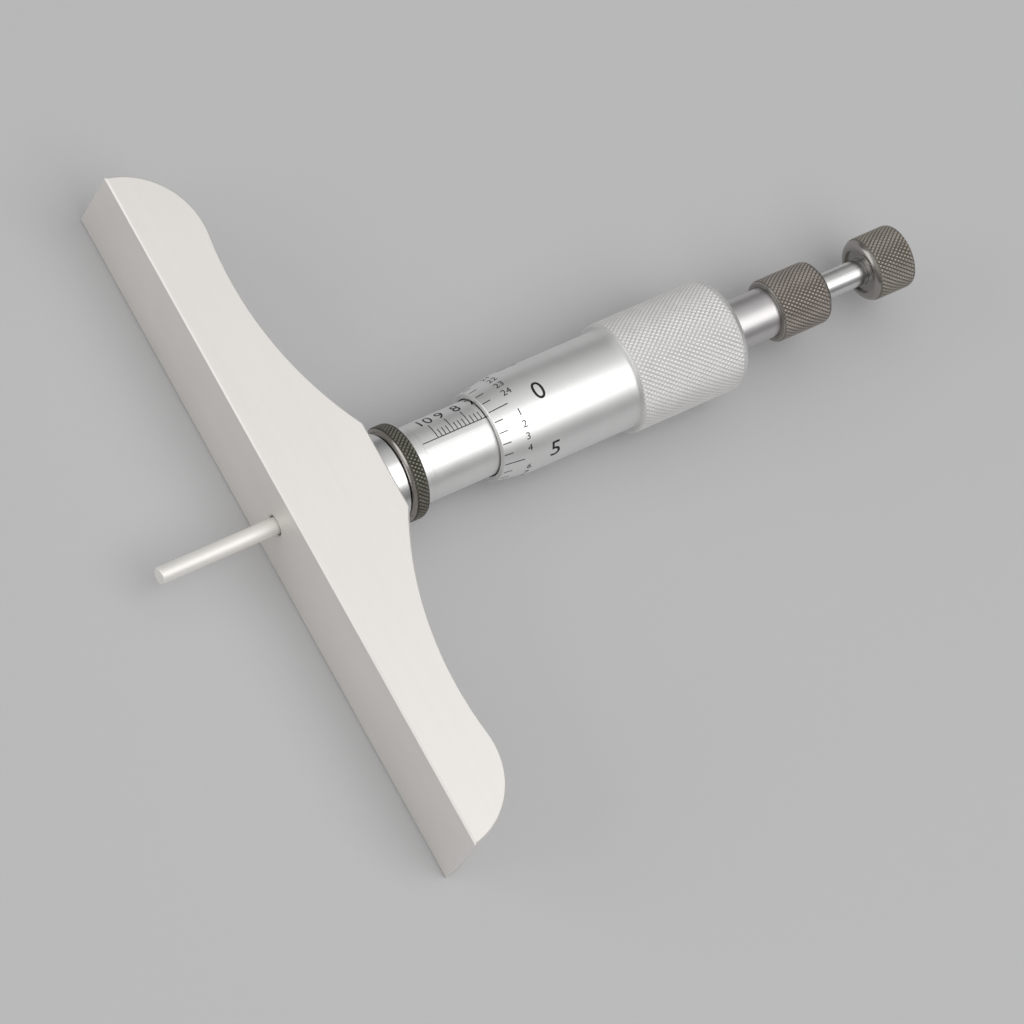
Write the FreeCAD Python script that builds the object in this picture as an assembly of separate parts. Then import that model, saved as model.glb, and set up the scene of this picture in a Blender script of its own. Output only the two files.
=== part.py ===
import FreeCAD, Part
import math
import os

# Depth micrometer.  Millimetres.  The spindle axis is Y: the measuring face lies in the plane
# y = 0 and faces -Y, the knob is at +Y, and the base is long in X.  The instrument lies on its
# back, so +Z is up.

Vector = FreeCAD.Vector

# ---------------------------------------------------------------- base
base_length = 101.6
base_width = 13.5
boss_width = 12.8
boss_height = 15.4
waist_height = 8.85
waist_offset = 30.9
end_radius = 11.2
edge_break = 0.25
face_hole_clearance = 0.26
floor_thickness = 5.8

# ---------------------------------------------------------------- reading
travel = 25.4
depth_set = 17.78
full_mark_margin = 2.6
zero_mark_margin = 1.5

# ---------------------------------------------------------------- running clearances
screw_clearance = 0.05
rod_clearance = 0.06
turn_clearance = 0.04
end_gap = 0.1

# ---------------------------------------------------------------- barrel, lock ring, sleeve
barrel_diameter = 9.2
collar_diameter = 12.4
collar_thickness = 2.3
ring_diameter = 13.6
ring_length = 4.1
ring_chamfer = 0.35
ring_throw_deg = 60.0
cam_offset = 0.3
cam_grip = 0.02
roller_diameter = 1.6
roller_length = 2.6
sleeve_diameter = 10.8
spanner_hole_diameter = 1.3
spanner_hole_back = 4.0
nose_step = 0.5
slit_width = 0.4
slit_count = 3
slit_root = 3.0
adjusting_nut_diameter = 10.4
adjusting_nut_length = 3.2
adjusting_nut_flats = 9.4
nose_beyond_nut = 0.8

# ---------------------------------------------------------------- spindle and thimble
spindle_diameter = 6.2
spindle_start_room = 0.5
shoulder_diameter = 9.2
shoulder_room = 1.2
taper_ratio = 0.07
thimble_front_diameter = 12.6
thimble_diameter = 14.1
thimble_bore = 11.2
bevel_length = 5.0
grip_diameter = 15.8
grip_length = 18.0
grip_front_chamfer = 0.3
corner_radius = 1.75
corner_steps = 4
end_wall = 7.5
neck_flange_diameter = 10.6
neck_flange_thickness = 1.6
neck_diameter = 7.1
neck_length = 7.9

# ---------------------------------------------------------------- measuring rod and its nuts
rod_diameter = 2.38
rod_tip_break = 0.12
rod_nut_flats = 4.0
rod_adjusting_nut_length = 2.4
rod_lock_nut_length = 1.8
rod_above_nuts = 0.6
nut_room = 0.2
nut_seat_depth = 1.0

# ---------------------------------------------------------------- cap and ratchet
cap_diameter = 9.0
cap_roof = 4.5
cap_chamfer = 0.5
stem_diameter = 3.75
stem_length = 7.35
stem_socket = 3.0
knob_diameter = 9.1
knob_length = 6.7
knob_chamfer = 0.5
knob_front_wall = 1.3
knob_recess_diameter = 6.2
knob_recess_depth = 0.35
knob_bore = 7.0
knob_groove_diameter = 7.8
lug_width = 1.4
lug_count = 3
tooth_count = 12
tooth_height = 0.45
tooth_play = 0.04
tooth_side_play_deg = 1.0
tooth_root_diameter = 3.6
wheel_diameter = 6.6
wheel_thickness = 0.9
clutch_thickness = 0.85
clutch_lift = 0.5
stem_nose_diameter = 2.2
stem_nose_flat = 0.8
screw_head_diameter = 2.8
screw_head_thickness = 0.5
screw_shank_diameter = 1.1
screw_shank_length = 2.4
screw_slot_width = 0.35
spring_wire = 0.3
spring_diameter = 5.4
spring_turns = 2.25
spring_steps = 12
spring_sides = 6
plug_thickness = 1.0
plug_slot_width = 0.8
plug_slot_depth = 0.4

# ---------------------------------------------------------------- stations along the axis
rod_r = rod_diameter / 2
barrel_r = barrel_diameter / 2
spindle_r = spindle_diameter / 2
barrel_bore_r = spindle_r + screw_clearance
advance = travel - depth_set

collar_top = boss_height + collar_thickness
ring_start = collar_top + end_gap
ring_end = ring_start + ring_length
sleeve_start = ring_end + end_gap
full_line = sleeve_start + full_mark_margin
thimble_front = full_line + advance
zero_line = full_line + travel
sleeve_end = zero_line + zero_mark_margin
nut_start = sleeve_end + 3 * end_gap
nut_end = nut_start + adjusting_nut_length
barrel_end = nut_end + nose_beyond_nut
spindle_start = floor_thickness + spindle_start_room + advance
shoulder = barrel_end + shoulder_room + advance
thimble_end = shoulder + end_wall
flange_seat = thimble_end - neck_flange_thickness
grip_start = thimble_end - grip_length
cap_start = thimble_end + neck_length
spindle_end = cap_start - nut_seat_depth
rod_nut_mid = spindle_end + rod_adjusting_nut_length
rod_nut_end = rod_nut_mid + rod_lock_nut_length
rod_end = rod_nut_end + rod_above_nuts
cap_ceiling = rod_end + 2 * end_gap
neck_end = cap_ceiling - 3 * end_gap
cap_end = cap_ceiling + cap_roof
knob_start = cap_end + stem_length
knob_end = knob_start + knob_length
cavity_start = knob_start + knob_front_wall
wheel_start = cavity_start + end_gap
wheel_face = wheel_start + wheel_thickness
clutch_start = wheel_face + tooth_play
clutch_back = clutch_start + tooth_height + clutch_thickness
plug_start = knob_end - plug_thickness - end_gap

neck_bore_r = rod_nut_flats / 2 / math.cos(math.radians(30)) + nut_room


def turned(points):
    """A solid of revolution about the spindle axis; each point is (radius, station)."""
    corners = [Vector(r, y, 0) for r, y in points]
    face = Part.Face(Part.makePolygon(corners + corners[:1]))
    return face.revolve(Vector(0, 0, 0), Vector(0, 1, 0), 360)


def rod(radius, start, end):
    """A plain cylinder on the spindle axis."""
    return Part.makeCylinder(radius, end - start, Vector(0, start, 0), Vector(0, 1, 0))


def block(width, start, end, height, low=None):
    """A box centred on X; it is centred on Z too unless its low side is given."""
    bottom = -height / 2 if low is None else low
    return Part.makeBox(width, end - start, height, Vector(-width / 2, start, bottom))


def about_axis(shape, degrees):
    """A copy of the shape turned about the spindle axis."""
    copy = shape.copy()
    copy.rotate(Vector(0, 0, 0), Vector(0, 1, 0), degrees)
    return copy


def hexagon(flats, start, end):
    """A hexagonal prism on the spindle axis, with its corners turned off at the far end."""
    corner_r = flats / 2 / math.cos(math.radians(30))
    points = []
    for k in range(7):
        angle = math.radians(60 * k)
        points.append(Vector(corner_r * math.cos(angle), start, corner_r * math.sin(angle)))
    prism = Part.Face(Part.makePolygon(points)).extrude(Vector(0, end - start, 0))
    slope = (corner_r - flats / 2) * math.tan(math.radians(30))
    rim = flats / 2
    blank = turned([(0, start), (corner_r, start), (corner_r, end - slope), (rim, end), (0, end)])
    return prism.common(blank)


# ---------------------------------------------------------------- base
def base_outline():
    """Half circle ends that sweep down to a waist and up to the boss, drawn in the plane Z = 0."""
    half = base_length / 2
    boss = boss_width / 2
    run = waist_offset - boss
    rise = boss_height - waist_height
    sweep_r = (run * run + rise * rise) / (2 * rise)
    sweep = Vector(waist_offset, waist_height + sweep_r, 0)
    tip = Vector(half, 0, 0)

    # the end arc passes through the tip and touches the sweep
    apart = sweep.sub(tip).Length
    reach = sweep_r + end_radius
    along = (apart ** 2 + end_radius ** 2 - reach ** 2) / (2 * apart)
    aside = math.sqrt(end_radius ** 2 - along ** 2)
    toward = sweep.sub(tip).normalize()
    across = Vector(-toward.y, toward.x, 0)
    end = tip + toward * along + across * aside
    joint = end + sweep.sub(end).normalize() * end_radius

    def arc_mid(centre, first, last, radius):
        middle = (first + last) * 0.5 - centre
        return centre + middle.normalize() * radius

    top = Vector(boss, boss_height, 0)
    outer_mid = arc_mid(end, tip, joint, end_radius)
    inner_mid = arc_mid(sweep, joint, top, sweep_r)

    def mirrored(point):
        return Vector(-point.x, point.y, 0)

    edges = [
        Part.makeLine(mirrored(tip), tip),
        Part.Arc(tip, outer_mid, joint).toShape(),
        Part.Arc(joint, inner_mid, top).toShape(),
        Part.makeLine(top, mirrored(top)),
        Part.Arc(mirrored(top), mirrored(inner_mid), mirrored(joint)).toShape(),
        Part.Arc(mirrored(joint), mirrored(outer_mid), mirrored(tip)).toShape(),
    ]
    return Part.Wire(edges)


def base():
    """One hardened bar: ground face, swept shoulders, and a boss bored for the barrel."""
    bar = Part.Face(base_outline()).extrude(Vector(0, 0, base_width))
    bar.translate(Vector(0, 0, -base_width / 2))
    rims = []
    for edge in bar.Edges:
        box = edge.BoundBox
        if box.ZLength < 0.001 and abs(abs(box.ZMin) - base_width / 2) < 0.001:
            rims.append(edge)
    bar = bar.makeChamfer(edge_break, rims)
    hole_r = rod_r + face_hole_clearance
    hole = turned([(0, 0), (hole_r + edge_break, 0), (hole_r, edge_break),
                   (hole_r, floor_thickness), (0, floor_thickness)])
    socket = rod(barrel_r, floor_thickness, boss_height)
    return bar.cut(hole).cut(socket)


# ---------------------------------------------------------------- barrel group
def barrel():
    """Fixed inner tube: pressed in the boss, flanged, windowed for the lock, slit at the nut."""
    nose_r = barrel_r - nose_step
    collar_r = collar_diameter / 2
    chamfer = edge_break
    body = turned([
        (barrel_bore_r, floor_thickness), (barrel_r, floor_thickness), (barrel_r, boss_height),
        (collar_r, boss_height), (collar_r, collar_top - chamfer), (collar_r - chamfer, collar_top),
        (barrel_r, collar_top), (barrel_r, sleeve_end), (nose_r, sleeve_end),
        (nose_r, barrel_end), (barrel_bore_r, barrel_end)])
    middle = (ring_start + ring_end) / 2
    half = roller_length / 2 + end_gap
    window = block(roller_diameter + 2 * turn_clearance, middle - half, middle + half,
                   barrel_r, -barrel_r)
    window = window.cut(rod(spindle_r / 2, middle - half, middle + half))
    body = body.cut(window)
    for k in range(slit_count):
        slit = block(slit_width, sleeve_end - slit_root, barrel_end, barrel_r, 0)
        body = body.cut(about_axis(slit, 360 * k / slit_count))
    return body


def adjusting_nut():
    """Ring nut on the barrel's slit nose, with two spanner flats."""
    outer = adjusting_nut_diameter / 2
    ring = turned([
        (barrel_r - nose_step, nut_start), (outer - edge_break, nut_start),
        (outer, nut_start + edge_break), (outer, nut_end - edge_break),
        (outer - edge_break, nut_end), (barrel_r - nose_step, nut_end)])
    flats = block(adjusting_nut_flats, nut_start, nut_end, 2 * adjusting_nut_diameter)
    return ring.common(flats)


def lock_roller():
    """Pin in the barrel's window, between the spindle and the lock ring's cam."""
    middle = (ring_start + ring_end) / 2
    place = Vector(0, middle - roller_length / 2, -roller_orbit())
    return Part.makeCylinder(roller_diameter / 2, roller_length, place, Vector(0, 1, 0))


def roller_orbit():
    """Distance of the roller's centre from the spindle axis."""
    return spindle_r + turn_clearance + roller_diameter / 2


def lock_ring():
    """Knurled ring whose eccentric pocket closes on the roller as it turns."""
    outer = ring_diameter / 2
    inner = barrel_r + turn_clearance
    ring = turned([
        (inner, ring_start), (outer - ring_chamfer, ring_start), (outer, ring_start + ring_chamfer),
        (outer, ring_end - ring_chamfer), (outer - ring_chamfer, ring_end), (inner, ring_end)])
    orbit = roller_orbit()
    throw = math.radians(ring_throw_deg)
    locked = math.sqrt(orbit ** 2 + cam_offset ** 2 - 2 * orbit * cam_offset * math.cos(throw))
    cam_r = locked + roller_diameter / 2 + cam_grip
    middle = (ring_start + ring_end) / 2
    half = roller_length / 2 + end_gap
    pocket = rod(cam_r, middle - half, middle + half)
    pocket.translate(Vector(0, 0, -cam_offset))
    return ring.cut(pocket)


def sleeve():
    """Graduated tube that turns stiffly on the barrel, with a spanner hole underneath."""
    inner = barrel_r + turn_clearance
    outer = sleeve_diameter / 2
    tube = rod(outer, sleeve_start, sleeve_end).cut(rod(inner, sleeve_start, sleeve_end))
    place = Vector(0, sleeve_start + spanner_hole_back, -outer - 1)
    hole = Part.makeCylinder(spanner_hole_diameter / 2, outer, place, Vector(0, 0, 1))
    return tube.cut(hole)


# ---------------------------------------------------------------- thimble group
def taper_r(station):
    """Radius of the seat that carries the thimble on the spindle."""
    return shoulder_diameter / 2 - taper_ratio * (station - shoulder)


def spindle():
    """Hollow screw: plain journal, shoulder, taper seat and rear stub, bored for the rod."""
    bore = rod_r + rod_clearance
    seat_end = flange_seat - 2 * end_gap
    return turned([
        (bore, spindle_start), (spindle_r, spindle_start), (spindle_r, shoulder),
        (taper_r(shoulder), shoulder), (taper_r(seat_end), seat_end),
        (neck_bore_r, seat_end), (neck_bore_r, spindle_end), (bore, spindle_end)])


def thimble():
    """Bevelled graduated front, smooth body and thick grip, turned from one bar."""
    front_r = thimble_front_diameter / 2
    body_r = thimble_diameter / 2
    grip_r = grip_diameter / 2
    bore_r = thimble_bore / 2
    floor = shoulder + 4 * end_gap
    flange_r = neck_flange_diameter / 2
    profile = [
        (bore_r, thimble_front), (front_r, thimble_front),
        (body_r, thimble_front + bevel_length), (body_r, grip_start),
        (grip_r - grip_front_chamfer, grip_start), (grip_r, grip_start + grip_front_chamfer)]
    for k in range(corner_steps + 1):
        angle = math.radians(90 * k / corner_steps)
        profile.append((grip_r - corner_radius * (1 - math.cos(angle)),
                        thimble_end - corner_radius * (1 - math.sin(angle))))
    profile += [
        (flange_r, thimble_end), (flange_r, flange_seat),
        (taper_r(flange_seat), flange_seat), (taper_r(floor), floor), (bore_r, floor)]
    return turned(profile)


def neck_nut():
    """Flanged tube that pulls the thimble on to its taper and carries the cap."""
    outer = neck_diameter / 2
    flange_r = neck_flange_diameter / 2
    return turned([
        (neck_bore_r, flange_seat), (flange_r, flange_seat), (flange_r, thimble_end),
        (outer, thimble_end), (outer, neck_end - edge_break), (outer - edge_break, neck_end),
        (neck_bore_r, neck_end)])


# ---------------------------------------------------------------- measuring rod group
def measuring_rod():
    """Ground rod with a flat tip, held by its head under the cap."""
    tip = -depth_set
    return turned([
        (0, tip), (rod_r - rod_tip_break, tip), (rod_r, tip + rod_tip_break),
        (rod_r, rod_end - rod_tip_break), (rod_r - rod_tip_break, rod_end), (0, rod_end)])


def rod_nut(start, end):
    """Small hexagon nut on the rod's head."""
    return hexagon(rod_nut_flats, start, end).cut(rod(rod_r, start, end))


# ---------------------------------------------------------------- cap and ratchet
def knurled_blank(diameter, start, end, chamfer):
    """Solid drum with both rims chamfered."""
    outer = diameter / 2
    return turned([
        (0, start), (outer - chamfer, start), (outer, start + chamfer),
        (outer, end - chamfer), (outer - chamfer, end), (0, end)])


def cap():
    """Screwed over the neck; its roof holds the rod down and its back carries the stem."""
    drum = knurled_blank(cap_diameter, cap_start, cap_end, cap_chamfer)
    bore = rod(neck_diameter / 2 + turn_clearance, cap_start, cap_ceiling)
    socket = rod(stem_diameter / 2, cap_end - stem_socket, cap_end)
    return drum.cut(bore).cut(socket)


def stem_nose(start, end):
    """D-shaped drive between the stem and the ratchet wheel."""
    nose = rod(stem_nose_diameter / 2, start, end)
    return nose.common(block(stem_nose_diameter, start, end, stem_nose_diameter, -stem_nose_flat))


def ratchet_stem():
    """Thin shaft from the cap to the ratchet wheel, tapped for the retaining screw."""
    shaft = rod(stem_diameter / 2, cap_end - stem_socket, wheel_start)
    shaft = shaft.fuse(stem_nose(wheel_start, wheel_face))
    tapped = rod(screw_shank_diameter / 2, wheel_face - screw_shank_length, wheel_face)
    return shaft.cut(tapped)


def tooth_section(radius, base_y, pitch):
    """Triangle across one saw tooth at a radius, from its foot to its crest one pitch on."""
    angle = math.radians(pitch)
    foot = Vector(radius, base_y, 0)
    heel = Vector(radius * math.cos(angle), base_y, radius * math.sin(angle))
    crest = Vector(heel.x, base_y + tooth_height, heel.z)
    return Part.makePolygon([foot, heel, crest, foot])


def face_teeth(lift, turn):
    """Saw teeth that climb along +Y as they go round; each is a sliver wide enough to cut with."""
    near = tooth_root_diameter / 4
    far = knob_groove_diameter / 2 + edge_break
    base_y = wheel_face + lift
    pitch = 360 / tooth_count
    ends = [tooth_section(near, base_y, pitch), tooth_section(far, base_y, pitch)]
    tooth = Part.makeLoft(ends, True, True)
    return [about_axis(tooth, k * pitch - turn) for k in range(tooth_count)]


def ratchet_wheel():
    """Disc keyed to the stem, with a ring of saw teeth on its back face."""
    outer = wheel_diameter / 2
    disc = rod(outer, wheel_start, wheel_face)
    band = turned([
        (tooth_root_diameter / 2, wheel_face), (outer, wheel_face),
        (outer, wheel_face + tooth_height), (tooth_root_diameter / 2, wheel_face + tooth_height)])
    for tooth in face_teeth(0, 0):
        disc = disc.fuse(band.common(tooth))
    return disc.cut(stem_nose(wheel_start, wheel_face)).removeSplitter()


def retaining_screw():
    """Slotted screw that holds the ratchet wheel on the stem."""
    head = rod(screw_head_diameter / 2, wheel_face, wheel_face + screw_head_thickness)
    shank = rod(screw_shank_diameter / 2, wheel_face - screw_shank_length, wheel_face)
    slot_start = wheel_face + screw_head_thickness / 2
    slot = block(screw_head_diameter, slot_start, wheel_face + screw_head_thickness,
                 screw_slot_width)
    return head.fuse(shank).cut(slot)


def lug(start, end, radius, width):
    """One radial key, reaching from inside the ring to the given radius."""
    key = block(width, start, end, radius, 0)
    return key.common(rod(radius, start, end))


def clutch_ring():
    """Ring with matching saw teeth; its lugs slide in the knob's grooves."""
    outer = knob_bore / 2 - turn_clearance
    inner = (screw_head_diameter / 2 + tooth_root_diameter / 2) / 2
    ring = rod(outer, clutch_start, clutch_back)
    tooth_band = rod(tooth_root_diameter / 2, clutch_start, clutch_start + tooth_height)
    for k in range(lug_count):
        key = lug(clutch_start + tooth_height, clutch_back,
                  knob_groove_diameter / 2 - turn_clearance, lug_width - 2 * turn_clearance)
        ring = ring.fuse(about_axis(key, 360 * k / lug_count))
    ring = ring.cut(tooth_band).cut(rod(inner, clutch_start, clutch_back))
    for tooth in face_teeth(tooth_play, tooth_side_play_deg):
        ring = ring.cut(tooth)
    return ring


def wire_section(turn, station):
    """Many-sided section of the spring wire, in a plane through the axis at that turn."""
    wire_r = spring_wire / 2
    points = []
    for k in range(spring_sides + 1):
        angle = 2 * math.pi * k / spring_sides
        points.append(Vector(spring_diameter / 2 + wire_r * math.cos(angle),
                             station + wire_r * math.sin(angle), 0))
    return about_axis(Part.makePolygon(points), 360 * turn)


def clutch_spring():
    """Short coil spring between the clutch ring and the end plug."""
    first = clutch_back + end_gap / 2 + spring_wire / 2
    last = plug_start - spring_wire / 2
    steps = round(spring_turns * spring_steps)
    sections = []
    for k in range(steps + 1):
        sections.append(wire_section(k / spring_steps, first + (last - first) * k / steps))
    return Part.makeLoft(sections, True, True)


def knob():
    """Knurled shell that houses the clutch; grooves in its bore drive the clutch ring."""
    shell = knurled_blank(knob_diameter, knob_start, knob_end, knob_chamfer)
    shell = shell.cut(rod(stem_diameter / 2 + turn_clearance, knob_start, cavity_start))
    recess_end = knob_start + knob_recess_depth
    shell = shell.cut(rod(knob_recess_diameter / 2, knob_start, recess_end))
    shell = shell.cut(rod(knob_bore / 2, cavity_start, knob_end))
    groove_r = knob_groove_diameter / 2
    for k in range(lug_count):
        groove = lug(cavity_start, knob_end, groove_r, lug_width)
        shell = shell.cut(about_axis(groove, 360 * k / lug_count))
    return shell.cut(rod(groove_r, plug_start, knob_end))


def knob_end_plug():
    """Slotted disc screwed into the back of the knob."""
    disc = rod(knob_groove_diameter / 2, plug_start, plug_start + plug_thickness)
    slot_start = plug_start + plug_thickness - plug_slot_depth
    slot = block(knob_groove_diameter, slot_start, plug_start + plug_thickness, plug_slot_width)
    return disc.cut(slot)


pieces = {
    "base": base(),
    "barrel": barrel(),
    "adjusting_nut": adjusting_nut(),
    "lock_roller": lock_roller(),
    "lock_ring": lock_ring(),
    "sleeve": sleeve(),
    "spindle": spindle(),
    "thimble": thimble(),
    "neck_nut": neck_nut(),
    "measuring_rod": measuring_rod(),
    "rod_adjusting_nut": rod_nut(spindle_end, rod_nut_mid),
    "rod_lock_nut": rod_nut(rod_nut_mid, rod_nut_end),
    "cap": cap(),
    "ratchet_stem": ratchet_stem(),
    "ratchet_wheel": ratchet_wheel(),
    "retaining_screw": retaining_screw(),
    "clutch_ring": clutch_ring(),
    "clutch_spring": clutch_spring(),
    "knob": knob(),
    "knob_end_plug": knob_end_plug(),
}

os.makedirs("parts", exist_ok=True)
for name, shape in pieces.items():
    shape.exportStep("parts/" + name + ".step")
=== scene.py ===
import math

import bmesh
import bpy
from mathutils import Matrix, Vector


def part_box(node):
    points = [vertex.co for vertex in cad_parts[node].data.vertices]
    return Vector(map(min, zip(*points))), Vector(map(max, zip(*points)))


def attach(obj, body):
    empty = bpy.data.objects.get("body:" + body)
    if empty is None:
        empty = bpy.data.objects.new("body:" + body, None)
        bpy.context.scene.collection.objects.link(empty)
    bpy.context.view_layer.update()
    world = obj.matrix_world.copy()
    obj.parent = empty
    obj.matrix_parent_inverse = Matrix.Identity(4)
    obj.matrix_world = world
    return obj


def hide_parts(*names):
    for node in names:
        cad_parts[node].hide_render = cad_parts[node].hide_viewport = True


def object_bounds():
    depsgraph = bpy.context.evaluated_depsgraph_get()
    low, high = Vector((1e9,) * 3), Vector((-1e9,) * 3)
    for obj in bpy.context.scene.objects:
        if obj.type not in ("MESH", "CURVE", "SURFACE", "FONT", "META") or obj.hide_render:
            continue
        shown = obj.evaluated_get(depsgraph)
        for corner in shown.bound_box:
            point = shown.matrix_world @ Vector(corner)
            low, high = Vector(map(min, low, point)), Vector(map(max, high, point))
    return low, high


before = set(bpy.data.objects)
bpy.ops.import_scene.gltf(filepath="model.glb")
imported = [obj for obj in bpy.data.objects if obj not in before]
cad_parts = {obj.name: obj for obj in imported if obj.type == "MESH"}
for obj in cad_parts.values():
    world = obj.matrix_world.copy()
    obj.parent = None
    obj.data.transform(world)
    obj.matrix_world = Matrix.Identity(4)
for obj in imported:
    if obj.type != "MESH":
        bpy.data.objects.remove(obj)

# Depth micrometer, dressed around its solids.  Metres.  The spindle axis is Y, the measuring
# face looks along -Y, and the instrument lies on its back with +Z up.  Angles round the spindle
# are taken from +Z towards +X, in radians.  A station is a place along Y.

cad_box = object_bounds()
MM = 0.001
INCH = 25.4 * MM

# ---------------------------------------------------------------- sizes taken from the solids


def span(node):
    """Front station, back station and outer radius of a turned piece."""
    low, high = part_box(node)
    return low.y, high.y, high.x


RING_FRONT, _, RING_R = span("lock_ring")
SLEEVE_FRONT, SLEEVE_BACK, SLEEVE_R = span("sleeve")
THIMBLE_FRONT, THIMBLE_BACK, GRIP_R = span("thimble")
FLANGE_FRONT, _, FLANGE_R = span("neck_nut")
CAP_FRONT, CAP_BACK, CAP_R = span("cap")
KNOB_FRONT, KNOB_BACK, KNOB_R = span("knob")
STEM_R = span("ratchet_stem")[2]
PLUG_FRONT = span("knob_end_plug")[0]

# ---------------------------------------------------------------- sizes of the turned pieces

RING_BORE_R = 4.64 * MM
RING_FRONT_CORNER = 0.9 * MM
RING_BACK_CORNER = 0.35 * MM
RING_RIM_LENGTH = 2.4 * MM
HUB_GAP = 0.02 * MM
HUB_SEGMENTS = 128

THIMBLE_FRONT_R = 6.3 * MM
THIMBLE_BODY_R = 7.05 * MM
THIMBLE_BORE_R = 5.6 * MM
THIMBLE_FLOOR = 7.1 * MM
BEVEL_LENGTH = 5.0 * MM
BEVEL_SLOPE = (THIMBLE_BODY_R - THIMBLE_FRONT_R) / BEVEL_LENGTH
BEVEL_EDGE = 0.08 * MM
GRIP_LENGTH = 18.0 * MM
GRIP_FRONT_CORNER = 0.3 * MM
GRIP_BACK_CORNER = 1.75 * MM
SEAT_R = 4.35 * MM

CAP_BORE_R = 3.59 * MM
CAP_FRONT_CORNER = 0.5 * MM
CAP_BACK_CORNER = 1.1 * MM
CAP_ROOF = 4.5 * MM
STEM_SOCKET = 3.0 * MM

KNOB_FRONT_CORNER = 1.3 * MM
KNOB_BACK_CORNER = 0.5 * MM
KNOB_WALL = 1.3 * MM
KNOB_HOLE_ROOM = 0.04 * MM
KNOB_RECESS_R = 3.1 * MM
KNOB_RECESS = 0.35 * MM
KNOB_BORE_R = 3.5 * MM
PLUG_R = 3.9 * MM

CORNER_STEPS = 5
# edges that bend more than this are drawn sharp; points nearer than the weld are one point
SHARP_ANGLE = math.radians(28)
WELD = 1e-7

# ---------------------------------------------------------------- sizes of the knurls

GRIP_PITCH = 0.7 * MM
GRIP_DEPTH = 0.11 * MM
DARK_PITCH = 0.64 * MM
DARK_DEPTH = 0.14 * MM
# a stud's length over its width, and the share of its width that is flat on top
KNURL_STRETCH = 1.3
KNURL_LAND = 0.36
KNURL_WELD = 0.002 * MM

# ---------------------------------------------------------------- sizes of the graduation

ZERO_ANGLE = math.radians(-9)
ZERO_STATION = SLEEVE_BACK - 1.5 * MM
SLEEVE_TICKS = 40
TICKS_A_TENTH = 4
THIMBLE_TICKS = 25
LONG_EVERY = 5
LINE_WIDTH = 0.13 * MM
LINE_CUTS = 5
# the filling stands a little out of the metal and reaches a little into it
INLAY_UP = 0.012 * MM
INLAY_DOWN = 0.03 * MM
INLAY_THICK = INLAY_UP + INLAY_DOWN
INLAY_LIFT = (INLAY_UP - INLAY_DOWN) / 2
SLEEVE_TICK = 1.25 * MM
SLEEVE_LONG_TICK = 2.5 * MM
SLEEVE_FIGURE = 1.9 * MM
SLEEVE_FIGURE_AT = 3.8 * MM
THIMBLE_TICK = 1.25 * MM
THIMBLE_LONG_TICK = 2.9 * MM
TICK_SETBACK = 0.2 * MM
SMALL_FIGURE = 1.05 * MM
SMALL_FIGURE_AT = 3.95 * MM
LARGE_FIGURE = 2.75 * MM
LARGE_FIGURE_AT = 7.9 * MM
# a figure's height over its font's size, the steps of its curves, and its slices for rolling
FIGURE_SHARE = 0.73
FIGURE_CURVES = 4
FIGURE_SLICE = 0.3 * MM

# ---------------------------------------------------------------- grain of the finishes

# how often each noise changes in a metre, along X, Y and Z
GROUND_LINES = (45, 5200, 5200)
GROUND_BANDS = (25, 900, 900)
GROUND_MOTTLE = (70, 110, 110)
TURNED_MOTTLE = (260, 260, 260)
KNURL_GRAIN = (5200, 5200, 5200)
KNURL_PATCHES = (420, 420, 420)
FILLING_PATCHES = (1500, 1500, 1500)
PAPER_FIBRES = (900, 900, 900)

# the same for tool marks, along the profile and across it
MARKS_ACROSS = 90
BANDS_ALONG = 700
BANDS_ACROSS = 60

KNURL_GRAIN_DEPTH = 0.006 * MM
FILLING_DEPTH = 0.004 * MM
FIBRE_DEPTH = 0.01 * MM

# ---------------------------------------------------------------- stage

CAMERA_AT = (0.1659, -0.3129, 0.6939)
CAMERA_UP = (-0.8627, 0.3863, 0.3264)
# from the middle of the instrument to the point in the middle of the view
CAMERA_AIM = (0.0112, -0.0111, 0.0)
CAMERA_LENS = 209.0
CAMERA_CLIP = 0.01

FLOOR_HALF = 20.0
FLOOR_COLOUR = (0.56, 0.56, 0.565, 1)
FLOOR_SHADE = 0.985

WORLD_STOPS = [(0.0, 0.10), (0.40, 0.30), (1.0, 0.80)]
WORLD_LEVEL = 1.0

LAMP_DISTANCE = 1.0
KEY_LAMP = {"direction": (0.42, 0.20, 0.90), "size": 0.95, "watts": 4.0}
FILL_LAMP = {"direction": (-0.35, -0.95, 0.30), "size": 0.8, "watts": 2.6}


# ---------------------------------------------------------------- node trees


def grey(level):
    return (level, level, level, 1)


class Value:
    """A socket that gives a number or a colour; arithmetic on it adds Math nodes."""

    def __init__(self, graph, socket):
        self.graph = graph
        self.socket = socket

    def __add__(self, other):
        return self.graph.maths("ADD", self, other)

    def __sub__(self, other):
        return self.graph.maths("SUBTRACT", self, other)

    def __mul__(self, other):
        return self.graph.maths("MULTIPLY", self, other)

    def __truediv__(self, other):
        return self.graph.maths("DIVIDE", self, other)

    def __rtruediv__(self, other):
        return self.graph.maths("DIVIDE", other, self)


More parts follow.
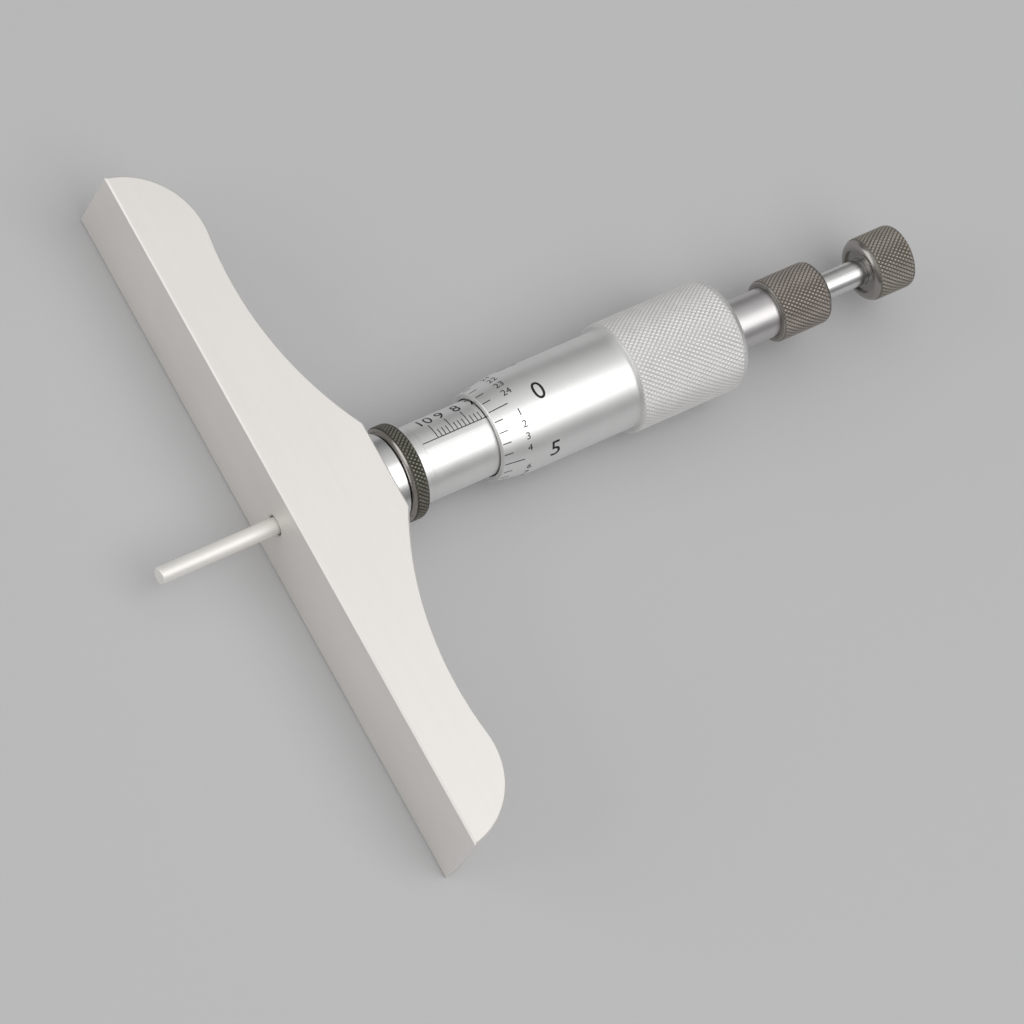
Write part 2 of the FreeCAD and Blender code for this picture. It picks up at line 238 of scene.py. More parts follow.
class Graph:
    """A shader, world or geometry tree while it is being wired."""

    def __init__(self, tree):
        self.tree = tree

    def node(self, kind, settings=None, inputs=None):
        """Adds a node from its type, its settings and its sockets, and returns its outputs."""
        made = self.tree.nodes.new(kind)
        for key, setting in (settings or {}).items():
            if key == "stops":
                self.set_stops(made.color_ramp, setting)
            else:
                setattr(made, key, setting)
        for key, given in (inputs or {}).items():
            socket = self.input_of(made, key)
            if isinstance(given, Value):
                self.tree.links.new(given.socket, socket)
            else:
                socket.default_value = given
        outputs = {}
        for place, socket in enumerate(made.outputs):
            outputs[place] = outputs[socket.identifier] = Value(self, socket)
            outputs.setdefault(socket.name, outputs[place])
        return outputs

    def input_of(self, made, key):
        """An input socket by its place, its identifier or its name."""
        if isinstance(key, int):
            return made.inputs[key]
        for socket in made.inputs:
            if key in (socket.identifier, socket.name):
                return socket
        raise KeyError(f"{made.bl_idname} has no input {key}")

    def set_stops(self, ramp, stops):
        """Gives a colour ramp its stops, each a place and a grey level."""
        while len(ramp.elements) < len(stops):
            ramp.elements.new(0.5)
        for element, (place, level) in zip(ramp.elements, stops):
            element.position = place
            element.color = grey(level)

    def maths(self, operation, *operands):
        return self.node("ShaderNodeMath", {"operation": operation}, dict(enumerate(operands)))[0]

    def clamp(self, number):
        """The number, kept between 0 and 1."""
        return self.node("ShaderNodeClamp", None, {"Value": number, "Min": 0.0, "Max": 1.0})[0]

    def split(self, vector):
        """The three numbers of a vector."""
        parts = self.node("ShaderNodeSeparateXYZ", None, {0: vector})
        return parts[0], parts[1], parts[2]

    def join(self, x, y, z):
        return self.node("ShaderNodeCombineXYZ", None, {0: x, 1: y, 2: z})[0]

    def mix(self, share, first, second):
        """A colour between two, by share."""
        settings = {"data_type": "RGBA"}
        inputs = {"Factor_Float": share, "A_Color": first, "B_Color": second}
        return self.node("ShaderNodeMix", settings, inputs)["Result_Color"]

    def noise(self, vector, detail, rough=0.5):
        inputs = {"Vector": vector, "Scale": 1.0, "Detail": detail, "Roughness": rough}
        return self.node("ShaderNodeTexNoise", None, inputs)[0]

    def place(self, stretch=(1, 1, 1)):
        """The point on the piece, stretched."""
        point = self.node("ShaderNodeTexCoord")["Object"]
        return self.node("ShaderNodeMapping", None, {"Vector": point, "Scale": stretch})[0]

    def bump(self, height, depth, strength=1.0):
        inputs = {"Height": height, "Distance": depth, "Strength": strength}
        return self.node("ShaderNodeBump", None, inputs)[0]

    def position(self):
        """The three coordinates of the point that a geometry tree works on."""
        return self.split(self.node("GeometryNodeInputPosition")[0])

    def moved(self, geometry, position):
        inputs = {"Geometry": geometry, "Position": position}
        return self.node("GeometryNodeSetPosition", None, inputs)[0]

    def copies(self, points, piece, size):
        """A copy of the piece on each point, as plain geometry."""
        inputs = {"Points": points, "Instance": piece, "Scale": size}
        placed = self.node("GeometryNodeInstanceOnPoints", None, inputs)[0]
        return self.node("GeometryNodeRealizeInstances", None, {"Geometry": placed})[0]

    def painted(self, geometry, finish):
        inputs = {"Geometry": geometry, "Material": finish}
        return self.node("GeometryNodeSetMaterial", None, inputs)[0]

    def together(self, *parts):
        """Several geometries as one."""
        made = self.tree.nodes.new("GeometryNodeJoinGeometry")
        for part in parts:
            self.tree.links.new(part.socket, made.inputs[0])
        return Value(self, made.outputs[0])


# ---------------------------------------------------------------- finishes


def surface(graph, colour, roughness, normal, metallic=1.0, specular=0.5):
    """Closes a finish with its shader and its output."""
    inputs = {
        "Base Color": colour,
        "Roughness": roughness,
        "Metallic": metallic,
        "Normal": normal,
        "Specular IOR Level": specular,
    }
    shader = graph.node("ShaderNodeBsdfPrincipled", None, inputs)[0]
    graph.node("ShaderNodeOutputMaterial", None, {"Surface": shader})


def new_finish(name):
    made = bpy.data.materials.new(name)
    made.use_nodes = True
    made.node_tree.nodes.clear()
    return made, Graph(made.node_tree)


def ground_finish(name, pale, dark, roughness, line_depth, metallic):
    """Surface ground on a flat grinder: fine straight lines along X over a faint mottle."""
    made, graph = new_finish(name)
    lines = graph.noise(graph.place(GROUND_LINES), detail=4, rough=0.65)
    broad = graph.noise(graph.place(GROUND_BANDS), detail=2)
    mottle = graph.noise(graph.place(GROUND_MOTTLE), detail=3)
    share = graph.clamp(lines * 0.5 + broad * 0.35 + mottle * 0.5 - 0.15)
    colour = graph.mix(share, dark, pale)
    rough = (lines - 0.5) * 0.22 + (mottle - 0.5) * 0.12 + roughness
    surface(graph, colour, rough, graph.bump(lines + broad * 0.5, line_depth), metallic)
    return made


def turned_coordinates(graph, along, across):
    """Coordinates that run fast along a turned profile and slowly round it, as tool marks do."""
    x, y, z = graph.split(graph.place())
    radius = graph.maths("SQRT", x * x + z * z)
    return graph.join(x * across, (y + radius) * along, z * across)


def turned_finish(name, pale, dark, roughness, marks_per_mm, line_depth, metallic=1.0):
    """Turned and polished metal: fine tool marks run round the axis, end faces included."""
    made, graph = new_finish(name)
    fine = turned_coordinates(graph, marks_per_mm / MM, MARKS_ACROSS)
    marks = graph.noise(fine, detail=4, rough=0.6)
    bands = graph.noise(turned_coordinates(graph, BANDS_ALONG, BANDS_ACROSS), detail=2)
    mottle = graph.noise(graph.place(TURNED_MOTTLE), detail=3)
    share = graph.clamp(marks * 0.5 + bands * 0.4 + mottle * 0.4 - 0.15)
    colour = graph.mix(share, dark, pale)
    rough = (marks - 0.5) * 0.16 + (mottle - 0.5) * 0.08 + roughness
    surface(graph, colour, rough, graph.bump(marks, line_depth), metallic)
    return made


def knurled_finish(name, crest, groove_shade, crest_r, depth, roughness, metallic):
    """Knurled metal: crest colour on the crests, groove colour down in the grooves. The darker
    grooves are painted shade; the brighter crests are partly rubbed wear.
    """
    made, graph = new_finish(name)
    x, _, z = graph.split(graph.place())
    radius = graph.maths("SQRT", x * x + z * z)
    # painted shade: the colour darkens with depth into the knurl's grooves, mixed with rubbed
    # wear on the crests
    height = graph.clamp((radius - (crest_r - depth)) / depth)
    grain = graph.noise(graph.place(KNURL_GRAIN), detail=3)
    patch = graph.noise(graph.place(KNURL_PATCHES), detail=3)
    wear_and_groove_shade = graph.clamp(height * 1.15 + (grain - 0.5) * 0.5 + (patch - 0.5) * 0.5 - 0.1)
    colour = graph.mix(wear_and_groove_shade, groove_shade, crest)
    rough = (grain - 0.5) * 0.2 + (patch - 0.5) * 0.14 + roughness
    surface(graph, colour, rough, graph.bump(grain, KNURL_GRAIN_DEPTH), metallic)
    return made


def enamel_finish(name, colour, worn):
    """Dark filling in engraved lines and figures, a little uneven."""
    made, graph = new_finish(name)
    patch = graph.noise(graph.place(FILLING_PATCHES), detail=4)
    share = graph.clamp((patch - 0.45) * 1.6)
    rough = patch * 0.3 + 0.4
    surface(graph, graph.mix(share, colour, worn), rough, graph.bump(patch, FILLING_DEPTH),
            metallic=0.0, specular=0.3)
    return made


def paper_finish(name, colour):
    """Matt studio paper."""
    made, graph = new_finish(name)
    fibre = graph.noise(graph.place(PAPER_FIBRES), detail=4)
    darker = tuple(level * FLOOR_SHADE for level in colour[:3]) + (1,)
    surface(graph, graph.mix(fibre, darker, colour), 0.9,
            graph.bump(fibre, FIBRE_DEPTH, strength=0.3), metallic=0.0, specular=0.2)
    return made


BASE_STEEL = ground_finish(
    "ground_steel", pale=(0.92, 0.895, 0.86, 1), dark=(0.83, 0.805, 0.77, 1),
    roughness=0.50, line_depth=0.0035 * MM, metallic=0.7)
SATIN_CHROME = turned_finish(
    "satin_chrome", pale=(0.92, 0.92, 0.91, 1), dark=(0.83, 0.83, 0.82, 1),
    roughness=0.40, marks_per_mm=9, line_depth=0.004 * MM, metallic=0.88)
BRIGHT_STEEL = turned_finish(
    "bright_turned_steel", pale=(0.84, 0.835, 0.83, 1), dark=(0.70, 0.695, 0.69, 1),
    roughness=0.28, marks_per_mm=7, line_depth=0.004 * MM)
NECK_STEEL = turned_finish(
    "neck_steel", pale=(0.72, 0.70, 0.70, 1), dark=(0.60, 0.585, 0.585, 1),
    roughness=0.36, marks_per_mm=8, line_depth=0.004 * MM)
ROD_STEEL = turned_finish(
    "rod_steel", pale=(0.95, 0.93, 0.89, 1), dark=(0.87, 0.85, 0.81, 1),
    roughness=0.48, marks_per_mm=10, line_depth=0.003 * MM, metallic=0.4)
DARK_RIM = turned_finish(
    "dark_rim", pale=(0.46, 0.445, 0.42, 1), dark=(0.30, 0.285, 0.265, 1),
    roughness=0.24, marks_per_mm=6, line_depth=0.005 * MM)
# the groove colours of the knurled finishes below are painted shade down in the knurls
GRIP_CHROME = knurled_finish(
    "knurled_chrome", crest=(0.90, 0.89, 0.88, 1), groove_shade=(0.66, 0.65, 0.635, 1),
    crest_r=GRIP_R, depth=GRIP_DEPTH, roughness=0.48, metallic=0.45)
DARK_CAP = knurled_finish(
    "dark_cap", crest=(0.42, 0.375, 0.345, 1), groove_shade=(0.17, 0.148, 0.13, 1),
    crest_r=CAP_R, depth=DARK_DEPTH, roughness=0.42, metallic=0.55)
DARK_KNOB = knurled_finish(
    "dark_knob", crest=(0.40, 0.37, 0.325, 1), groove_shade=(0.17, 0.153, 0.128, 1),
    crest_r=KNOB_R, depth=DARK_DEPTH, roughness=0.44, metallic=0.55)
DARK_RING = knurled_finish(
    "dark_ring", crest=(0.23, 0.225, 0.187, 1), groove_shade=(0.062, 0.059, 0.047, 1),
    crest_r=RING_R, depth=DARK_DEPTH, roughness=0.40, metallic=0.6)
ENAMEL = enamel_finish(
    "black_filling", colour=(0.012, 0.012, 0.014, 1), worn=(0.05, 0.048, 0.046, 1))
INNER_STEEL = turned_finish(
    "machined_steel", pale=grey(0.58), dark=grey(0.48),
    roughness=0.34, marks_per_mm=5, line_depth=0.005 * MM)
SPRING_STEEL = turned_finish(
    "spring_steel", pale=grey(0.44), dark=grey(0.34),
    roughness=0.3, marks_per_mm=6, line_depth=0.004 * MM)

INNER_NODES = (
    "adjusting_nut", "lock_roller", "spindle", "rod_adjusting_nut", "rod_lock_nut",
    "ratchet_wheel", "retaining_screw", "clutch_ring")


def dress(node, finish):
    """Gives a solid its finish."""
    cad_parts[node].material_slots[0].material = finish


# ---------------------------------------------------------------- turned pieces


def corner(centre_r, station, radius, first, last):
    """Points of a rounded corner; angles in degrees from the outward radius towards +Y."""
    points = []
    for k in range(CORNER_STEPS + 1):
        angle = math.radians(first + (last - first) * k / CORNER_STEPS)
        points.append((centre_r + radius * math.cos(angle), station + radius * math.sin(angle)))
    return points


def turned_mesh(name, outlines, segments):
    """Mesh of revolution about Y from open outlines of (radius, station) points.

    An outline that ends on the axis closes there with a fan.
    """
    work = bmesh.new()
    for outline in outlines:
        rings = []
        for radius, station in outline:
            if radius < WELD:
                rings.append([work.verts.new((0, station, 0))] * segments)
                continue
            ring = []
            for k in range(segments):
                angle = 2 * math.pi * k / segments
                place = (radius * math.sin(angle), station, radius * math.cos(angle))
                ring.append(work.verts.new(place))
            rings.append(ring)
        for near, far in zip(rings, rings[1:]):
            for k in range(segments):
                after = (k + 1) % segments
                corners = []
                for vertex in (near[k], near[after], far[after], far[k]):
                    if vertex not in corners:
                        corners.append(vertex)
                if len(corners) > 2:
                    work.faces.new(corners)
    bmesh.ops.remove_doubles(work, verts=work.verts, dist=WELD)
    for face in work.faces:
        face.smooth = True
    for edge in work.edges:
        edge.smooth = len(edge.link_faces) == 2 and edge.calc_face_angle() < SHARP_ANGLE
    mesh = bpy.data.meshes.new(name)
    work.to_mesh(mesh)
    work.free()
    return mesh


def new_object(name, mesh):
    made = bpy.data.objects.new(name, mesh)
    bpy.context.scene.collection.objects.link(made)
    return made


# ---------------------------------------------------------------- repeats made by node trees


def new_tree(name, inputs):
    """A geometry tree with named inputs; gives it, its graph and the inputs by name."""
    tree = bpy.data.node_groups.new(name, "GeometryNodeTree")
    tree.interface.new_socket("Geometry", in_out="OUTPUT", socket_type="NodeSocketGeometry")
    tree.interface.new_socket("Geometry", in_out="INPUT", socket_type="NodeSocketGeometry")
    for label, kind in inputs.items():
        tree.interface.new_socket(label, in_out="INPUT", socket_type="NodeSocket" + kind)
    graph = Graph(tree)
    return tree, graph, graph.node("NodeGroupInput")


def roll(graph, geometry, radius):
    """Rolls a flat layout (angle, station, height) on to the surface of that radius."""
    angle, station, height = graph.position()
    reach = height + radius
    rolled = graph.join(reach * graph.maths("SINE", angle), station,
                        reach * graph.maths("COSINE", angle))
    return graph.moved(geometry, rolled)


def knurl_tree():
    """Diamond knurl: a staggered lattice of flat-topped pyramids on the band between two
    stations, trimmed by the rounded corners at both ends and welded to the turned shell."""
    tree, graph, given = new_tree("knurl", {
        "Radius": "Float", "Depth": "Float", "Start": "Float", "End": "Float",
        "Start corner": "Float", "End corner": "Float", "Around": "Int", "Rows": "Int",
        "Land": "Float", "Finish": "Material"})
    depth = given["Depth"]
    start = given["Start"]
    end = given["End"]
    root = given["Radius"] - depth
    pitch = 2 * math.pi / given["Around"]
    row = (end - start) / given["Rows"]

    lattice = graph.node("GeometryNodeMeshGrid", None, {
        "Size X": pitch * (given["Around"] - 1), "Size Y": end - start,
        "Vertices X": given["Around"], "Vertices Y": given["Rows"] + 1})["Mesh"]
    x, y, _ = graph.position()
    count = graph.maths("ROUND", (y + (end - start) * 0.5) / row)
    stagger = graph.maths("MODULO", count, 2) * pitch * 0.5
    centre = graph.join(x + stagger, y + (start + end) * 0.5, 0.0)
    lattice = graph.moved(lattice, centre)

    cone = graph.node("GeometryNodeMeshCone", {"fill_type": "NGON"}, {
        "Vertices": 4, "Radius Top": given["Land"] * 0.5, "Radius Bottom": 0.5, "Depth": 1.0})
    pyramid = graph.node("GeometryNodeDeleteGeometry", {"domain": "FACE", "mode": "ONLY_FACE"}, {
        "Geometry": cone["Mesh"], "Selection": cone["Bottom"]})[0]
    studs = graph.copies(lattice, pyramid, graph.join(pitch, row * 2, depth))

    # trim: no stud passes the ends of the band or stands proud of the rounded corners
    x, y, z = graph.position()
    y = graph.maths("MINIMUM", graph.maths("MAXIMUM", y, start), end)
    for bend, run in ((given["Start corner"], y - start), (given["End corner"], end - y)):
        inner = bend - depth
        reach = graph.maths("SQRT", bend * bend - inner * inner)
        short = graph.maths("MAXIMUM", reach - run, 0.0)
        z = graph.maths("MINIMUM", z, graph.maths("SQRT", bend * bend - short * short) - inner)
    studs = roll(graph, graph.moved(studs, graph.join(x, y, z)), root)
    studs = graph.node("GeometryNodeSetShadeSmooth", None,
                       {"Geometry": studs, "Shade Smooth": False})[0]
    whole = graph.together(graph.painted(studs, given["Finish"]), given["Geometry"])
    stitched = graph.node("GeometryNodeMergeByDistance", None, {
        "Geometry": whole, "Distance": KNURL_WELD})[0]
    graph.node("NodeGroupOutput", None, {"Geometry": stitched})
    return tree


def marks_tree():
    """Filled lines at equal steps, every nth one longer, rolled on to a cylinder or cone."""
    tree, graph, given = new_tree("graduation", {
        "Count": "Int", "First": "Vector", "Step": "Vector", "Anchor": "Vector",
        "Short": "Vector", "Long": "Vector", "Long every": "Int",
        "Radius": "Float", "Slope": "Float", "Cone start": "Float", "Finish": "Material"})
    points = graph.node("GeometryNodeMeshLine", None, {
        "Count": given["Count"], "Start Location": given["First"], "Offset": given["Step"]})[0]
    index = graph.node("GeometryNodeInputIndex")[0]
    is_short = graph.maths("MINIMUM", graph.maths("MODULO", index, given["Long every"]), 1.0)
    size = graph.node("ShaderNodeMix", {"data_type": "VECTOR"}, {
        "Factor_Float": is_short, "A_Vector": given["Long"],
        "B_Vector": given["Short"]})["Result_Vector"]
    bar = graph.node("GeometryNodeMeshCube", None, {
        "Size": (1, 1, 1), "Vertices X": LINE_CUTS, "Vertices Y": 2, "Vertices Z": 2})[0]
    bar = graph.node("GeometryNodeTransform", None, {
        "Geometry": bar, "Translation": given["Anchor"]})[0]
    bars = graph.copies(points, bar, size)
    _, y, _ = graph.position()
    bars = roll(graph, bars, given["Radius"] + (y - given["Cone start"]) * given["Slope"])
    whole = graph.together(graph.painted(bars, given["Finish"]), given["Geometry"])
    graph.node("NodeGroupOutput", None, {"Geometry": whole})
    return tree


def grown(name, mesh, runs):
    """An object of the mesh with each (tree, inputs) run over it, made plain, faces outward."""
    seed = new_object(name + "_seed", mesh)
    for tree, inputs in runs:
        modifier = seed.modifiers.new(tree.name, "NODES")
        modifier.node_group = tree
        for item in tree.interface.items_tree:
            if item.in_out == "INPUT" and item.name in inputs:
                modifier[item.identifier] = inputs[item.name]
    graph = bpy.context.evaluated_depsgraph_get()
    plain = bpy.data.meshes.new_from_object(seed.evaluated_get(graph))
    plain.name = name
    seed.modifiers.clear()
    bpy.data.objects.remove(seed)
    work = bmesh.new()
    work.from_mesh(plain)
    bmesh.ops.recalc_face_normals(work, faces=work.faces)
    work.to_mesh(plain)
    work.free()
    return new_object(name, plain)


KNURL = knurl_tree()
MARKS = marks_tree()


def run_out(bend, depth):
    """Length along the axis over which a knurl fades at a rounded corner."""
    return math.sqrt(bend * bend - (bend - depth) * (bend - depth))


def knurled(name, outlines, radius, pitch, depth, band, bends, finish, shell_finish):
    """A turned shell with a knurled band, as one closed mesh."""
    around = round(2 * math.pi * radius / pitch)
    rows = round((band[1] - band[0]) / (pitch * KNURL_STRETCH / 2))
    mesh = turned_mesh(name, outlines, 2 * around)
    mesh.materials.append(shell_finish)
    inputs = {
        "Radius": radius, "Depth": depth, "Start": band[0], "End": band[1],
        "Start corner": bends[0], "End corner": bends[1], "Around": around, "Rows": rows,
        "Land": KNURL_LAND, "Finish": finish}
    return grown(name, mesh, [(KNURL, inputs)])


def root_corner(radius, station, bend, depth, facing):
    """The part of a rounded corner that lies below the knurl, from its root to the end face."""
    start = math.degrees(math.acos((bend - depth) / bend))
    return corner(radius - bend, station - facing * bend, bend, facing * start, facing * 90)


def rim(radius, front, back, bends, depth):
    """A rim's knurled band, and its front and back corners as an outline passes them."""
    band = (front + bends[0] - run_out(bends[0], depth),
            back - bends[1] + run_out(bends[1], depth))
    front_points = root_corner(radius, front, bends[0], depth, -1)[::-1]
    return band, front_points, root_corner(radius, back, bends[1], depth, 1)


# ---------------------------------------------------------------- the knurled pieces


def make_lock_ring():
    """Short knurled rim, with a plain hub behind it that is as thick as the sleeve."""
    rim_back = RING_FRONT + RING_RIM_LENGTH
    bends = (RING_FRONT_CORNER, RING_BACK_CORNER)
    band, front, back = rim(RING_R, RING_FRONT, rim_back, bends, DARK_DEPTH)
    outline = back + [(RING_BORE_R, rim_back), (RING_BORE_R, RING_FRONT)] + front
    piece = knurled("lock_ring_knurled", [outline], RING_R, DARK_PITCH, DARK_DEPTH, band,
                    bends, DARK_RING, DARK_RIM)
    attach(piece, "lock_ring_body")
    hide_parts("lock_ring")

    hub_back = SLEEVE_FRONT - HUB_GAP
    outline = [(RING_BORE_R, rim_back), (SLEEVE_R, rim_back), (SLEEVE_R, hub_back),
               (RING_BORE_R, hub_back), (RING_BORE_R, rim_back)]
    mesh = turned_mesh("lock_ring_hub", [outline], HUB_SEGMENTS)
    mesh.materials.append(SATIN_CHROME)
    hub = grown("lock_ring_hub", mesh, [])
    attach(hub, "lock_ring_body")


def make_thimble():
    """Bevelled front, smooth body and knurled grip, hollow and with the neck's seat inside."""
    grip_front = THIMBLE_BACK - GRIP_LENGTH
    floor = THIMBLE_BACK - THIMBLE_FLOOR
    bends = (GRIP_FRONT_CORNER, GRIP_BACK_CORNER)
    band, front, back = rim(GRIP_R, grip_front, THIMBLE_BACK, bends, GRIP_DEPTH)
    outline = back + [
        (FLANGE_R, THIMBLE_BACK), (FLANGE_R, FLANGE_FRONT), (SEAT_R, FLANGE_FRONT),
        (SEAT_R, floor), (THIMBLE_BORE_R, floor), (THIMBLE_BORE_R, THIMBLE_FRONT),
        (THIMBLE_FRONT_R - BEVEL_EDGE, THIMBLE_FRONT),
        (THIMBLE_FRONT_R + BEVEL_EDGE * BEVEL_SLOPE, THIMBLE_FRONT + BEVEL_EDGE),
        (THIMBLE_BODY_R, THIMBLE_FRONT + BEVEL_LENGTH), (THIMBLE_BODY_R, grip_front)] + front
    piece = knurled("thimble_knurled", [outline], GRIP_R, GRIP_PITCH, GRIP_DEPTH, band,
                    bends, GRIP_CHROME, SATIN_CHROME)
    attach(piece, "thimble_body")
    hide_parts("thimble")


def make_cap():
    """Knurled cap: a roof round the stem's socket, and a skirt over the neck."""
    bends = (CAP_FRONT_CORNER, CAP_BACK_CORNER)
    band, front, back = rim(CAP_R, CAP_FRONT, CAP_BACK, bends, DARK_DEPTH)
    socket = CAP_BACK - STEM_SOCKET
    ceiling = CAP_BACK - CAP_ROOF
    roof = back + [(STEM_R, CAP_BACK), (STEM_R, socket), (0, socket)]
    skirt = [(0, ceiling), (CAP_BORE_R, ceiling), (CAP_BORE_R, CAP_FRONT)] + front
    piece = knurled("cap_knurled", [roof, skirt], CAP_R, DARK_PITCH, DARK_DEPTH, band,
                    bends, DARK_CAP, DARK_RIM)
    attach(piece, "cap_body")
    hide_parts("cap")


def make_knob():
    """Knurled knob, open round the stem in front and round the plug behind."""
    bends = (KNOB_FRONT_CORNER, KNOB_BACK_CORNER)
    band, front, back = rim(KNOB_R, KNOB_FRONT, KNOB_BACK, bends, DARK_DEPTH)
    hole_r = STEM_R + KNOB_HOLE_ROOM
    wall = KNOB_FRONT + KNOB_WALL
    recess = KNOB_FRONT + KNOB_RECESS
    outline = back + [
        (PLUG_R, KNOB_BACK), (PLUG_R, PLUG_FRONT), (KNOB_BORE_R, PLUG_FRONT),
        (KNOB_BORE_R, wall), (hole_r, wall), (hole_r, recess),
        (KNOB_RECESS_R, recess), (KNOB_RECESS_R, KNOB_FRONT)] + front
    piece = knurled("knob_knurled", [outline], KNOB_R, DARK_PITCH, DARK_DEPTH, band,
                    bends, DARK_KNOB, DARK_RIM)
    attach(piece, "knob_body")
    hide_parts("knob")


# ---------------------------------------------------------------- graduation


def figure(work, label, height, angle, station, radius_at):
    """Adds one filled figure, with its head towards the smaller angles, read along +Y."""
    curve = bpy.data.curves.new("figure", "FONT")
    curve.body = label
    curve.size = height / FIGURE_SHARE
    curve.extrude = INLAY_THICK / 2
    curve.resolution_u = FIGURE_CURVES
    curve.align_x = "CENTER"
    text = new_object("figure", curve)
    graph = bpy.context.evaluated_depsgraph_get()
    flat = bpy.data.meshes.new_from_object(text.evaluated_get(graph))
    bpy.data.objects.remove(text)
    bpy.data.curves.remove(curve)
    cut = bmesh.new()
    cut.from_mesh(flat)
    bmesh.ops.remove_doubles(cut, verts=cut.verts, dist=WELD)
    for k in range(1, math.ceil(height / FIGURE_SLICE)):
        parts = cut.verts[:] + cut.edges[:] + cut.faces[:]
        bmesh.ops.bisect_plane(cut, geom=parts, plane_co=(0, k * FIGURE_SLICE, 0),
                               plane_no=(0, 1, 0), dist=WELD / 10)
    for vertex in cut.verts:
        along, up, out = vertex.co
        y = station + along
        radius = radius_at(y)
        turn = angle - (up - height / 2) / radius
        reach = radius + out + INLAY_LIFT
        vertex.co = (reach * math.sin(turn), y, reach * math.cos(turn))
    cut.to_mesh(flat)
    cut.free()
    work.from_mesh(flat)
    bpy.data.meshes.remove(flat)


def scale_mesh(name, work):
    """The figures of a scale as a mesh that takes the dark filling."""
    mesh = bpy.data.meshes.new(name)
    work.to_mesh(mesh)
    work.free()
    mesh.materials.append(ENAMEL)
    return mesh


def make_sleeve_scale():
    """Reading line, a tick each fortieth of an inch and a figure each tenth."""
    work = bmesh.new()
    side = ZERO_ANGLE - SLEEVE_FIGURE_AT / SLEEVE_R
    for k in range(SLEEVE_TICKS // TICKS_A_TENTH + 1):
        station = ZERO_STATION - k * INCH / 10
        figure(work, str(k), SLEEVE_FIGURE, side, station, lambda y: SLEEVE_R)
    mesh = scale_mesh("sleeve_scale", work)
    middle = INLAY_LIFT / INLAY_THICK
    ticks = {
        "Count": SLEEVE_TICKS + 1, "First": (ZERO_ANGLE, ZERO_STATION, 0),
        "Step": (0, -INCH / SLEEVE_TICKS, 0), "Anchor": (-0.5, 0, middle),
        "Short": (SLEEVE_TICK / SLEEVE_R, LINE_WIDTH, INLAY_THICK),
        "Long": (SLEEVE_LONG_TICK / SLEEVE_R, LINE_WIDTH, INLAY_THICK),
        "Long every": TICKS_A_TENTH, "Radius": SLEEVE_R, "Slope": 0.0, "Cone start": 0.0,
        "Finish": ENAMEL}
    line_start = SLEEVE_FRONT + LINE_WIDTH
    line = dict(ticks)
    line.update({
        "Count": 1, "First": (ZERO_ANGLE, line_start, 0), "Anchor": (0, 0.5, middle),
        "Long": (LINE_WIDTH / SLEEVE_R, SLEEVE_BACK - line_start, INLAY_THICK)})
    piece = grown("sleeve_scale", mesh, [(MARKS, ticks), (MARKS, line)])
    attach(piece, "sleeve_body")


def thimble_radius(y):
    """Outer radius of the thimble in front of its grip."""
    share = min(1.0, max(0.0, (y - THIMBLE_FRONT) / BEVEL_LENGTH))
    return THIMBLE_FRONT_R + (THIMBLE_BODY_R - THIMBLE_FRONT_R) * share


def make_thimble_scale():
    """Twenty-five ticks round the bevel, small figures behind them and a large one each fifth."""
    work = bmesh.new()
    for k in range(THIMBLE_TICKS):
        angle = ZERO_ANGLE + 2 * math.pi * k / THIMBLE_TICKS
        height, behind = SMALL_FIGURE, SMALL_FIGURE_AT
        if k % LONG_EVERY == 0:
            height, behind = LARGE_FIGURE, LARGE_FIGURE_AT
        figure(work, str(k), height, angle, THIMBLE_FRONT + behind, thimble_radius)
    mesh = scale_mesh("thimble_scale", work)
    width = LINE_WIDTH / THIMBLE_FRONT_R
    ticks = {
        "Count": THIMBLE_TICKS, "First": (ZERO_ANGLE, THIMBLE_FRONT + TICK_SETBACK, 0),
        "Step": (2 * math.pi / THIMBLE_TICKS, 0, 0),
        "Anchor": (0, 0.5, INLAY_LIFT / INLAY_THICK),
        "Short": (width, THIMBLE_TICK, INLAY_THICK),
        "Long": (width, THIMBLE_LONG_TICK, INLAY_THICK),
        "Long every": LONG_EVERY, "Radius": THIMBLE_FRONT_R, "Slope": BEVEL_SLOPE,
        "Cone start": THIMBLE_FRONT, "Finish": ENAMEL}
    piece = grown("thimble_scale", mesh, [(MARKS, ticks)])
    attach(piece, "thimble_body")


# ---------------------------------------------------------------- floor, lights and camera


def make_floor():
    """Matt paper under the instrument, touching the grip and the edge of the base."""
    base_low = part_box("base")[0]
    grip_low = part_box("thimble")[0].z
    grip_front = THIMBLE_BACK - GRIP_LENGTH
    slope = (grip_low - base_low.z) / grip_front
    corners = []
    for x, y in ((-1, -1), (1, -1), (1, 1), (-1, 1)):
        corners.append((x * FLOOR_HALF, y * FLOOR_HALF, base_low.z + slope * y * FLOOR_HALF))
    mesh = bpy.data.meshes.new("floor")
    mesh.from_pydata(corners, [], [(0, 1, 2, 3)])
    mesh.materials.append(paper_finish("studio_paper", FLOOR_COLOUR))
    new_object("floor", mesh)


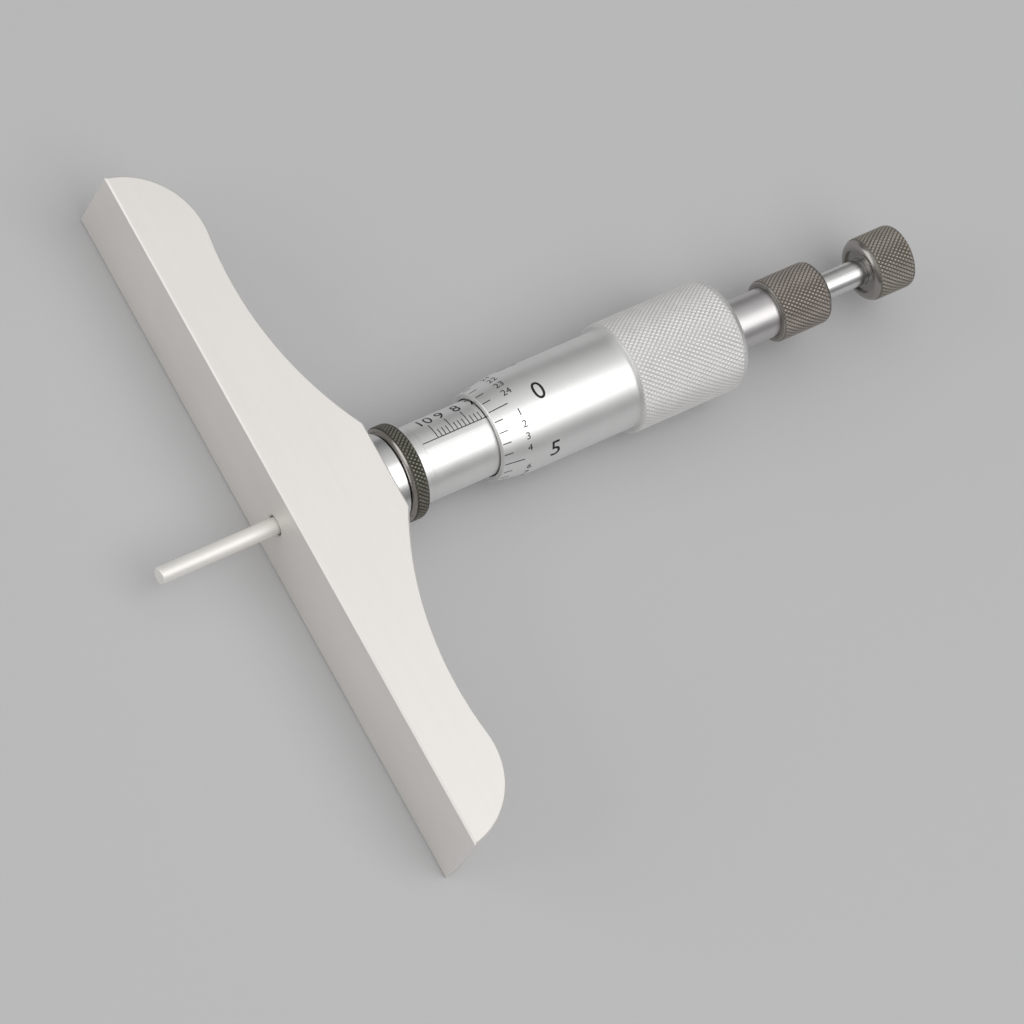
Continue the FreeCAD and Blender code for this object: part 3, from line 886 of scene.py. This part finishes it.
def make_world():
    """Soft room light: bright overhead, dimmer towards the horizon."""
    world = bpy.data.worlds.new("studio")
    bpy.context.scene.world = world
    world.use_nodes = True
    world.node_tree.nodes.clear()
    graph = Graph(world.node_tree)
    direction = graph.node("ShaderNodeTexCoord")["Generated"]
    _, _, up = graph.split(direction)
    glow = graph.node("ShaderNodeValToRGB", {"stops": WORLD_STOPS}, {"Fac": up})[0]
    light = graph.node("ShaderNodeBackground", None, {"Color": glow, "Strength": WORLD_LEVEL})[0]
    graph.node("ShaderNodeOutputWorld", None, {"Surface": light})


def middle_point():
    low, high = cad_box
    return (low + high) / 2


def make_lamp(name, direction, size, watts):
    """A square soft box aimed at the middle of the instrument."""
    lamp = bpy.data.lights.new(name, "AREA")
    lamp.shape = "SQUARE"
    lamp.size = size
    lamp.energy = watts
    made = new_object(name, lamp)
    away = Vector(direction).normalized()
    made.location = middle_point() + away * LAMP_DISTANCE
    made.rotation_euler = away.to_track_quat("Z", "Y").to_euler()


def make_camera():
    """Looks down on the instrument from its front right."""
    data = bpy.data.cameras.new("camera")
    data.lens = CAMERA_LENS
    data.clip_start = CAMERA_CLIP
    camera = new_object("camera", data)
    camera.location = CAMERA_AT
    back = (Vector(CAMERA_AT) - middle_point() - Vector(CAMERA_AIM)).normalized()
    right = Vector(CAMERA_UP).cross(back).normalized()
    up = back.cross(right)
    turn = camera.matrix_world.to_3x3()
    for axis, vector in enumerate((right, up, back)):
        turn.col[axis] = vector
    camera.rotation_euler = turn.to_euler()
    bpy.context.scene.camera = camera


# ---------------------------------------------------------------- assembly

dress("base", BASE_STEEL)
dress("barrel", BRIGHT_STEEL)
dress("sleeve", SATIN_CHROME)
dress("neck_nut", NECK_STEEL)
dress("measuring_rod", ROD_STEEL)
dress("ratchet_stem", BRIGHT_STEEL)
dress("knob_end_plug", BRIGHT_STEEL)
dress("clutch_spring", SPRING_STEEL)
for inner in INNER_NODES:
    dress(inner, INNER_STEEL)

make_lock_ring()
make_thimble()
make_cap()
make_knob()
make_sleeve_scale()
make_thimble_scale()

make_floor()
make_world()
make_lamp("key", **KEY_LAMP)
make_lamp("fill", **FILL_LAMP)
make_camera()
bpy.context.scene.view_settings.view_transform = "Standard"
